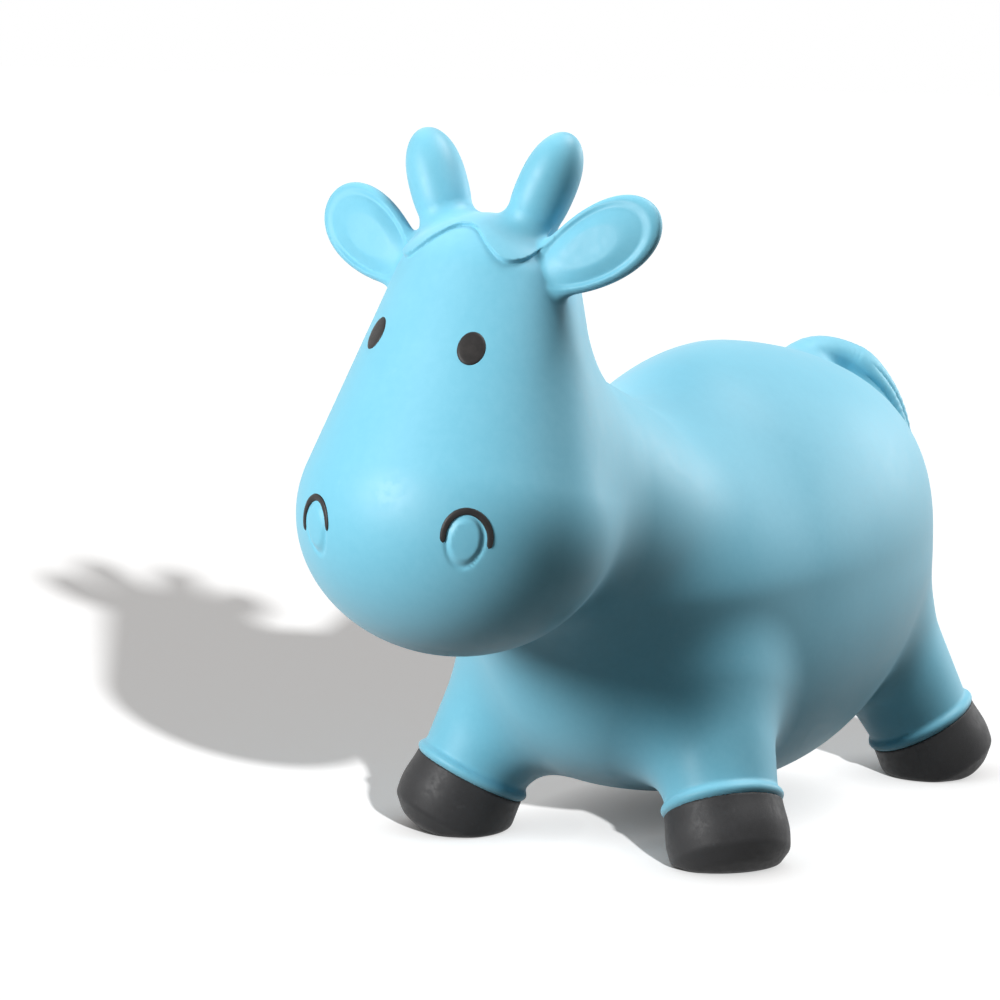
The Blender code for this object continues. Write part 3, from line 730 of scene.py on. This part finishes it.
def finishMesh(name, points, faces):
    mesh = makeMesh(name, points, faces)
    mesh.shade_smooth()
    shape = bmesh.new()
    shape.from_mesh(mesh)
    bmesh.ops.recalc_face_normals(shape, faces=shape.faces)
    shape.to_mesh(mesh)
    shape.free()
    return place(name, mesh)


def ringFaces(a, b, count):  # between two rings of points
    return [(a + i, a + (i + 1) % count, b + (i + 1) % count, b + i) for i in range(count)]


eye = {
    "left": (0.0398, math.radians(24.5)),  # drop below the poll and turn from the front
    "right": (0.0330, math.radians(36)),
    "half": (0.0097, 0.0120),
    "film": 0.0007,
    "edgePower": 6,
    "tuck": 0.4,  # share of the film that the edge goes under the hide
    "back": 0.001,
    "rings": 7,
    "steps": 48,
}


def makeEye(side, sign):
    drop, turn = eye[side]
    centre = facePoint(drop, sign * turn)
    normal = faceNormal(centre[None])[0]
    up = unit(-headAxis + normal * (headAxis @ normal))
    across = np.cross(up, normal)
    steps, rings = eye["steps"], eye["rings"]
    spots, lifts = [centre], [eye["film"]]
    for ring in range(1, rings + 1):
        share = ring / rings
        bulge = math.sqrt(1 - share ** eye["edgePower"])
        for i in range(steps):
            angle = 2 * math.pi * i / steps
            spots.append(centre + across * math.cos(angle) * share * eye["half"][0]
                         + up * math.sin(angle) * share * eye["half"][1])
            lifts.append(eye["film"] * (bulge * (1 + eye["tuck"]) - eye["tuck"]))
    spots = settle(hideGap, np.array(spots))
    spots = spots + faceNormal(spots) * np.array(lifts)[:, None]
    back = spots[-steps:].mean(0) - normal * eye["back"]
    faces = [(0, 1 + i, 1 + (i + 1) % steps) for i in range(steps)]
    for ring in range(rings - 1):
        a = 1 + ring * steps
        b = a + steps
        faces += [(a + i, b + i, b + (i + 1) % steps, a + (i + 1) % steps) for i in range(steps)]
    last = 1 + (rings - 1) * steps
    faces += [(last + (i + 1) % steps, last + i, len(spots)) for i in range(steps)]
    return finishMesh(side + "_eye_paint", np.vstack((spots, back)), faces)


nostrilLine = {
    "drop": 0.1595,
    "turn": math.radians(32.4),
    "width": 0.0265,
    "rise": 0.017,
    "sweep": math.radians(112),
    "half": 0.0022,
    "thin": 0.86,  # share of the half width at the ends, and what the middle adds to it
    "swell": 0.2,
    "proud": 0.0010,
    "endRun": 14,  # the ends are round over one part in this many
    "least": 0.05,
    "stations": 48,
    "round": 12,
}


def makeNostrilLine(side, sign):
    line = nostrilLine
    stations, around = line["stations"], line["round"]
    middle = facePoint(line["drop"], sign * line["turn"])
    reach = np.linalg.norm(middle - poll - headAxis * line["drop"])
    path = []
    for i in range(stations + 1):
        sweep = line["sweep"] * (2 * i / stations - 1)
        turn = sign * line["turn"] + line["width"] / 2 * math.sin(sweep) / reach
        path.append(facePoint(line["drop"] - line["rise"] * math.cos(sweep), turn))
    path = np.array(path)
    normals = faceNormal(path)
    across = np.cross(units(np.gradient(path, axis=0)), normals)
    points = []
    for i in range(stations + 1):
        end = min(min(i, stations - i) / stations * line["endRun"], 1)
        full = max(math.sqrt(1 - (1 - end) ** 2), line["least"])
        half = line["half"] * full * (line["thin"] + line["swell"] * math.sin(math.pi * i / stations))
        for j in range(around):
            angle = 2 * math.pi * j / around
            points.append(path[i] + across[i] * half * math.cos(angle)
                          + normals[i] * line["proud"] * full * math.sin(angle))
    faces = []
    for i in range(stations):
        faces += ringFaces(i * around, (i + 1) * around, around)
    faces.append(tuple(range(around))[::-1])
    faces.append(tuple(stations * around + j for j in range(around)))
    return finishMesh(side + "_nostril_paint", points, faces)


eyes = {side: makeEye(side, sign) for side, sign in sides}
nostrilLines = {side: makeNostrilLine(side, sign) for side, sign in sides}
print("face painted")


def turnedPiece(name, profile, closed, steps=72):  # turned about the valve's axis
    across = np.array((1.0, 0, 0))
    third = np.cross(valveAxis, across)
    points, faces = [], []
    for radius, height in profile:
        for i in range(steps):
            angle = 2 * math.pi * i / steps
            points.append(valveMouth + valveAxis * height
                          + (across * math.cos(angle) + third * math.sin(angle)) * radius)
    rows = len(profile)
    for row in range(rows if closed else rows - 1):
        faces += ringFaces(row * steps, (row + 1) % rows * steps, steps)
    if not closed:
        faces.append(tuple(range(steps)))
        faces.append(tuple((rows - 1) * steps + i for i in range(steps)))
    return finishMesh(name, points, faces)


def rounded(corner, size, start, end, count=4):  # quarter round between two directions
    return [(corner[0] + size * math.cos(start + (end - start) * i / count),
             corner[1] + size * math.sin(start + (end - start) * i / count)) for i in range(count + 1)]


valveSeat = {
    "bore": 0.0058,
    "boreEdge": (0.0012, 0.0010),  # chamfer, out and down
    "radius": 0.0130,
    "edge": 0.001,
    "lip": 0.0012,
    "lipWidth": 0.0035,
    "lipFoot": 0.0038,
    "step": 0.0002,
    "depth": 0.016,
}


def makeSeat():
    s = valveSeat
    bore, radius, top, edge = s["bore"], s["radius"], s["lip"], s["edge"]
    out, down = s["boreEdge"]
    profile = rounded((radius - edge, top - edge), edge, 0, math.pi / 2)
    profile += [(radius - s["lipWidth"], top), (radius - s["lipFoot"], s["step"]), (bore + out, 0.0)]
    profile += [(bore, -down), (bore, -s["depth"]), (radius, -s["depth"])]
    return turnedPiece("valve_seat_ring", profile, True)


valvePlug = {
    "capRadius": 0.0110,
    "cap": 0.0030,
    "capEdge": 0.0009,
    "underEdge": 0.0006,
    "dish": 0.0007,  # depth of the hollow in the cap
    "dishRadius": (0.0050, 0.0062),
    "dishLip": 0.0001,
    "eyelet": 0.0004,  # the rings at both ends close down to this radius
    "stemRadius": 0.0055,
    "stem": 0.0120,
    "stemPlay": 0.0001,
    "stemEdge": (0.0012, 0.0015),  # in and up
    "gap": 0.0003,
}


def makePlug():
    s = valvePlug
    low, high, cap, foot = s["gap"], s["cap"], s["capRadius"], -s["stem"]
    edge, under = s["capEdge"], s["underEdge"]
    stem = s["stemRadius"] - s["stemPlay"]
    inward, upward = s["stemEdge"]
    inner, outer = s["dishRadius"]
    profile = [(s["eyelet"], high - s["dish"]), (inner, high - s["dish"]), (outer, high - s["dishLip"])]
    profile += rounded((cap - edge, high - edge), edge, math.pi / 2, 0)
    profile += rounded((cap - under, low + under), under, 0, -math.pi / 2)
    profile += [(stem, low), (stem, foot + upward)]
    profile += [(s["stemRadius"] - inward, foot), (s["eyelet"], foot)]
    return turnedPiece("valve_plug_body", profile, False)


valvePieces = {"seat": makeSeat(), "plug": makePlug()}
print("valve turned")


def newGroup(name, inputs, outputs):
    group = bpy.data.node_groups.new(name, "ShaderNodeTree")
    for label, value, low, high in inputs:
        socket = group.interface.new_socket(name=label, in_out="INPUT", socket_type="NodeSocketFloat")
        socket.default_value = value
        socket.min_value = low
        socket.max_value = high
    for label in outputs:
        group.interface.new_socket(name=label, in_out="OUTPUT", socket_type="NodeSocketFloat")
    return group, group.nodes.new("NodeGroupInput"), group.nodes.new("NodeGroupOutput")


def link(tree, a, b):
    tree.links.new(a, b)


def mathOf(tree, operation, a, b):
    node = tree.nodes.new("ShaderNodeMath")
    node.operation = operation
    for socket, value in zip(node.inputs, (a, b)):
        if isinstance(value, (int, float)):
            socket.default_value = value
        else:
            link(tree, value, socket)
    return node.outputs[0]


def noise(tree, where, scale, detail, rough):
    node = tree.nodes.new("ShaderNodeTexNoise")
    node.inputs["Detail"].default_value = detail
    node.inputs["Roughness"].default_value = rough
    link(tree, where, node.inputs["Vector"])
    link(tree, scale, node.inputs["Scale"])
    return node.outputs["Fac"]


def rangeOf(tree, value, low, high, toLow=0.0, toHigh=1.0):
    node = tree.nodes.new("ShaderNodeMapRange")
    node.interpolation_type = "SMOOTHSTEP"
    for label, number in (("From Min", low), ("From Max", high), ("To Min", toLow), ("To Max", toHigh)):
        node.inputs[label].default_value = number
    link(tree, value, node.inputs["Value"])
    return node.outputs["Result"]


skinMottle = {
    "inputs": (("Cloud Scale", 9, 0, 1000), ("Fleck Scale", 150, 0, 5000),
               ("Grain Scale", 1200, 0, 20000), ("Fleck Share", 0.45, 0, 1)),
    "cloud": (5, 0.6),  # detail and roughness of each noise
    "fleck": (4, 0.65),
    "grain": (2, 0.55),
    "cloudRange": (0.3, 0.7),
    "fleckRange": (0.3, 0.72),
    "fleckHeight": 0.6,
    "grainHeight": 0.4,
}


def makeMottle():  # cloudy tone, fine flecks and the grain of a moulded skin
    s = skinMottle
    tree, inside, outside = newGroup("skinMottle", s["inputs"], ("Tone", "Height", "Flecks"))
    where = tree.nodes.new("ShaderNodeTexCoord").outputs["Object"]
    cloud = noise(tree, where, inside.outputs["Cloud Scale"], *s["cloud"])
    fleck = noise(tree, where, inside.outputs["Fleck Scale"], *s["fleck"])
    grain = noise(tree, where, inside.outputs["Grain Scale"], *s["grain"])
    clouds = rangeOf(tree, cloud, *s["cloudRange"])
    flecks = rangeOf(tree, fleck, *s["fleckRange"])
    share = inside.outputs["Fleck Share"]
    clouds = mathOf(tree, "MULTIPLY", clouds, mathOf(tree, "SUBTRACT", 1.0, share))
    tone = mathOf(tree, "ADD", clouds, mathOf(tree, "MULTIPLY", flecks, share))
    height = mathOf(tree, "ADD", mathOf(tree, "MULTIPLY", fleck, s["fleckHeight"]),
                    mathOf(tree, "MULTIPLY", grain, s["grainHeight"]))
    link(tree, tone, outside.inputs["Tone"])
    link(tree, height, outside.inputs["Height"])
    link(tree, flecks, outside.inputs["Flecks"])
    return tree


rubMarks = {
    "inputs": (("Patch Scale", 30, 0, 2000), ("Scratch Scale", 260, 0, 5000),
               ("Edge", 0.5, 0, 1), ("Scratches", 0.5, 0, 1)),
    "patch": (4, 0.55),
    "scratch": (3, 0.4),
    "patchRange": (0.45, 0.7),
    "edgeRange": (0.52, 0.60),
    "scratchRange": (0.62, 0.74),
    "edgePatch": (0.0, 0.8, 0.35, 1.0),  # edges are rubbed less outside the patches
    "stretch": (1.0, 0.25, 0.6),
    "slant": (0.4, 0.2, 0.7),
}


def makeScuff():  # rubbed edges and stray scratches
    s = rubMarks
    tree, inside, outside = newGroup("rubMarks", s["inputs"], ("Rub",))
    where = tree.nodes.new("ShaderNodeTexCoord").outputs["Object"]
    point = tree.nodes.new("ShaderNodeNewGeometry").outputs["Pointiness"]
    patch = noise(tree, where, inside.outputs["Patch Scale"], *s["patch"])
    patch = rangeOf(tree, patch, *s["patchRange"])
    edge = mathOf(tree, "MULTIPLY", rangeOf(tree, point, *s["edgeRange"]), inside.outputs["Edge"])
    stretch = tree.nodes.new("ShaderNodeMapping")
    stretch.inputs["Scale"].default_value = s["stretch"]
    stretch.inputs["Rotation"].default_value = s["slant"]
    link(tree, where, stretch.inputs["Vector"])
    scratch = noise(tree, stretch.outputs["Vector"], inside.outputs["Scratch Scale"], *s["scratch"])
    lines = rangeOf(tree, scratch, *s["scratchRange"])
    lines = mathOf(tree, "MULTIPLY", lines, inside.outputs["Scratches"])
    lines = mathOf(tree, "MULTIPLY", lines, patch)
    edge = mathOf(tree, "MULTIPLY", edge, rangeOf(tree, patch, *s["edgePatch"]))
    rub = mathOf(tree, "MINIMUM", mathOf(tree, "ADD", edge, lines), 1.0)
    link(tree, rub, outside.inputs["Rub"])
    return tree


mottle, scuff = makeMottle(), makeScuff()


def mixColour(tree, share, a, b):
    node = tree.nodes.new("ShaderNodeMix")
    node.data_type = "RGBA"
    link(tree, share, node.inputs[0])
    for socket, value in ((node.inputs[6], a), (node.inputs[7], b)):
        if isinstance(value, tuple):
            socket.default_value = (*value, 1)
        else:
            link(tree, value, socket)
    return node.outputs[2]


def useGroup(tree, group, look):
    node = tree.nodes.new("ShaderNodeGroup")
    node.node_tree = group
    for socket in node.inputs:
        socket.default_value = look[socket.name]
    return node


skin = {
    "rubRoughness": 0.15,
    "bumpDistance": 0.0006,
    "sheenRoughness": 0.8,
}


def skinFinish(name, look):
    material = bpy.data.materials.new(name)
    material.use_nodes = True
    tree = material.node_tree
    shader = tree.nodes["Principled BSDF"]
    tone = useGroup(tree, mottle, look)
    rub = useGroup(tree, scuff, look).outputs["Rub"]
    base = mixColour(tree, tone.outputs["Tone"], look["deep"], look["pale"])
    base = mixColour(tree, rub, base, look["rubbed"])
    link(tree, base, shader.inputs["Base Color"])
    rough = rangeOf(tree, tone.outputs["Flecks"], 0.0, 1.0, *look["roughness"])
    rough = mathOf(tree, "ADD", rough, mathOf(tree, "MULTIPLY", rub, skin["rubRoughness"]))
    link(tree, rough, shader.inputs["Roughness"])
    bump = tree.nodes.new("ShaderNodeBump")
    bump.inputs["Strength"].default_value = look["bump"]
    bump.inputs["Distance"].default_value = skin["bumpDistance"]
    link(tree, tone.outputs["Height"], bump.inputs["Height"])
    link(tree, bump.outputs["Normal"], shader.inputs["Normal"])
    shader.inputs["Specular IOR Level"].default_value = look["shine"]
    shader.inputs["Sheen Weight"].default_value = look["sheen"]
    shader.inputs["Sheen Roughness"].default_value = skin["sheenRoughness"]
    return material


blueVinyl = {
    "Cloud Scale": 8, "Fleck Scale": 170, "Grain Scale": 1300, "Fleck Share": 0.35,
    "Patch Scale": 26, "Scratch Scale": 240, "Edge": 0.25, "Scratches": 0.08,
    "deep": (0.140, 0.555, 0.745), "pale": (0.185, 0.610, 0.795), "rubbed": (0.36, 0.72, 0.85),
    "roughness": (0.47, 0.55), "bump": 0.10, "shine": 0.52, "sheen": 0.25,
}
hoofVinyl = {
    "Cloud Scale": 22, "Fleck Scale": 260, "Grain Scale": 1500, "Fleck Share": 0.5,
    "Patch Scale": 40, "Scratch Scale": 320, "Edge": 0.3, "Scratches": 0.2,
    "deep": (0.020, 0.020, 0.021), "pale": (0.036, 0.036, 0.038), "rubbed": (0.10, 0.10, 0.105),
    "roughness": (0.48, 0.60), "bump": 0.25, "shine": 0.32, "sheen": 0.0,
}
eyePaint = {
    "Cloud Scale": 90, "Fleck Scale": 600, "Grain Scale": 2400, "Fleck Share": 0.25,
    "Patch Scale": 120, "Scratch Scale": 700, "Edge": 0.1, "Scratches": 0.1,
    "deep": (0.011, 0.010, 0.010), "pale": (0.027, 0.024, 0.023), "rubbed": (0.06, 0.05, 0.05),
    "roughness": (0.40, 0.50), "bump": 0.1, "shine": 0.28, "sheen": 0.0,
}
valvePlastic = {
    "Cloud Scale": 60, "Fleck Scale": 700, "Grain Scale": 3000, "Fleck Share": 0.5,
    "Patch Scale": 80, "Scratch Scale": 500, "Edge": 0.2, "Scratches": 0.4,
    "deep": (0.70, 0.72, 0.71), "pale": (0.82, 0.83, 0.82), "rubbed": (0.62, 0.63, 0.62),
    "roughness": (0.34, 0.46), "bump": 0.15, "shine": 0.45, "sheen": 0.0,
}
finishes = {
    "blue_vinyl": skinFinish("blueVinyl", blueVinyl),
    "hoof_vinyl": skinFinish("hoofVinyl", hoofVinyl),
    "eye_paint": skinFinish("eyePaint", eyePaint),
    "valve_plastic": skinFinish("valvePlastic", valvePlastic),
}
print("finishes mixed")


# Each piece rides on its body, or, where it would bend between two, is only baked in place.
def dress(item, slot, *nodes):
    item.data.materials.clear()
    item.data.materials.append(finishes[slot])
    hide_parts(*nodes)


def bendAlong(item, parent, child, origin, axis, span):
    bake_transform(item)


dress(hide["body_hide"], "blue_vinyl", "body_skin")
dress(hide["tail_hide"], "blue_vinyl", "tail")
dress(hide["valve_boss_hide"], "blue_vinyl", "body_skin")
for name in ("body_hide", "tail_hide", "valve_boss_hide"):
    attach(hide[name], "root")
dress(hide["head_hide"], "blue_vinyl", "head_skin")
bendAlong(hide["head_hide"], "root", "head", neckPivot, neckAxis, neck["bend"])
dress(hide["crown_hide"], "blue_vinyl", "head_skin")
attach(hide["crown_hide"], "head")
for limb in legs:
    name = limb["name"]
    dress(hide[name + "_leg_hide"], "blue_vinyl", name + "_leg")
    bendAlong(hide[name + "_leg_hide"], "root", name + "_leg", limb["hip"], limb["lean"], leg["bend"])
    dress(hooves[name], "hoof_vinyl", name + "_hoof")
    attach(hooves[name], name + "_leg")
for side, sign in sides:
    for form, name in ((horn, "_horn"), (ear, "_ear")):
        item = hide[side + name + "_hide"]
        dress(item, "blue_vinyl", side + name)
        bendAlong(item, "head", side + name, *rootAndAxis(form, sign), form["bend"])
    dress(eyes[side], "eye_paint", side + "_eye")
    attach(eyes[side], "head")
    dress(nostrilLines[side], "eye_paint", side + "_nostril_line")
    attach(nostrilLines[side], "head")
dress(valvePieces["seat"], "valve_plastic", "valve_seat")
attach(valvePieces["seat"], "root")
dress(valvePieces["plug"], "valve_plastic", "valve_plug")
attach(valvePieces["plug"], "valve_plug")
print("pieces set on their bodies")

view = {
    "azimuth": math.radians(32),
    "elevation": math.radians(8.5),
    "distance": 2.705,
    "aim": (0, -0.1805, 0.253),
    "lens": 150,
    "sensor": 36,
}
azimuth, elevation = view["azimuth"], view["elevation"]
rightWard = Vector((math.cos(azimuth), math.sin(azimuth), 0))
nearWard = Vector((math.sin(azimuth), -math.cos(azimuth), 0))
toCamera = Vector((math.sin(azimuth) * math.cos(elevation),
                   -math.cos(azimuth) * math.cos(elevation), math.sin(elevation)))


def pointAlong(item, direction):
    item.rotation_euler = direction.to_track_quat("-Z", "Y").to_euler()


camera = place("camera", bpy.data.cameras.new("camera"))
camera.location = Vector(view["aim"]) + toCamera * view["distance"]
pointAlong(camera, -toCamera)
camera.data.lens = view["lens"]
camera.data.sensor_width = view["sensor"]
bpy.context.scene.camera = camera

lights = {
    "middle": (0, 0, 0.22),
    "lamps": (  # name, right, towards the camera, up, size, watts
        ("keyLamp", -1.50, 1.00, 0.64, 0.7, 34),
        ("topLamp", 0.75, 0.00, 1.60, 0.9, 27),
        ("rimLamp", 1.40, -0.95, 0.50, 0.8, 9),
    ),
    "sun": (0.250, 0.904, 0.348),  # right, towards the camera and up, for the shadow on the floor alone
    "sunPower": 6.6,
    "sunSpread": math.radians(1.8),
    "ambient": 0.04,
}
lit = bpy.data.collections.new("litPieces")
for item in list(bpy.context.scene.collection.objects):
    if item.type == "MESH":
        lit.objects.link(item)
ground = bpy.data.collections.new("ground")


def fromView(right, closer, up):
    return rightWard * right + nearWard * closer + Vector((0, 0, up))


for name, right, closer, up, size, watts in lights["lamps"]:
    lamp = bpy.data.lights.new(name, "AREA")
    lamp.shape = "DISK"
    lamp.size = size
    lamp.energy = watts
    item = place(name, lamp)
    item.location = Vector(lights["middle"]) + fromView(right, closer, up)
    pointAlong(item, Vector(lights["middle"]) - item.location)
    item.light_linking.receiver_collection = lit

sunLight = bpy.data.lights.new("floorSun", "SUN")
sunLight.energy = lights["sunPower"]
sunLight.angle = lights["sunSpread"]
sun = place("floorSun", sunLight)
pointAlong(sun, -fromView(*lights["sun"]))
sun.light_linking.receiver_collection = ground


def seenDirectly(tree):
    path = tree.nodes.new("ShaderNodeLightPath")
    seen = mathOf(tree, "MAXIMUM", path.outputs["Is Camera Ray"], path.outputs["Is Glossy Ray"])
    return mathOf(tree, "MAXIMUM", seen, path.outputs["Is Transmission Ray"])


def makeWorld():  # white where it is seen, and only a faint light on the pieces
    world = bpy.data.worlds.new("studioWorld")
    world.use_nodes = True
    bpy.context.scene.world = world
    tree = world.node_tree
    shade = tree.nodes["Background"]
    shade.inputs["Color"].default_value = (1, 1, 1, 1)
    strength = rangeOf(tree, seenDirectly(tree), 0.0, 1.0, lights["ambient"], 1.0)
    link(tree, strength, shade.inputs["Strength"])


paperFloor = {
    "half": 9,
    "pale": 0.8,  # how pale it looks, and how pale it is to the light that it throws back
    "bounce": 0.05,
    "glow": 0.45,
    "tint": (1, 0.978, 0.962),
    "paintedNookShade": 0.05,  # reach of the painted shade under the hooves, where ambient occlusion darkens the floor's glow
}


def makeFloor():
    s = paperFloor
    half = s["half"]
    corners = ((-half, -half, 0), (half, -half, 0), (half, half, 0), (-half, half, 0))
    floor = place("floor", makeMesh("floor", corners, ((0, 1, 2, 3),)))
    paper = bpy.data.materials.new("paperFloor")
    paper.use_nodes = True
    tree = paper.node_tree
    tree.nodes.remove(tree.nodes["Principled BSDF"])
    matt = tree.nodes.new("ShaderNodeBsdfDiffuse")
    shade = rangeOf(tree, seenDirectly(tree), 0.0, 1.0, s["bounce"], s["pale"])
    link(tree, shade, matt.inputs["Color"])
    glow = tree.nodes.new("ShaderNodeEmission")
    glow.inputs["Color"].default_value = (*s["tint"], 1)
    # painted shade: ambient occlusion darkens the floor's glow under and around the hooves
    paintedNookShade = tree.nodes.new("ShaderNodeAmbientOcclusion")
    paintedNookShade.inputs["Distance"].default_value = s["paintedNookShade"]
    glowing = mathOf(tree, "MULTIPLY", paintedNookShade.outputs["AO"], s["glow"])
    link(tree, mathOf(tree, "MULTIPLY", seenDirectly(tree), glowing), glow.inputs["Strength"])
    both = tree.nodes.new("ShaderNodeAddShader")
    link(tree, matt.outputs[0], both.inputs[0])
    link(tree, glow.outputs[0], both.inputs[1])
    link(tree, both.outputs[0], tree.nodes["Material Output"].inputs["Surface"])
    floor.data.materials.append(paper)
    return floor


makeWorld()
floor = makeFloor()
ground.objects.link(floor)

bpy.context.scene.view_settings.view_transform = "Standard"
print("studio lit")
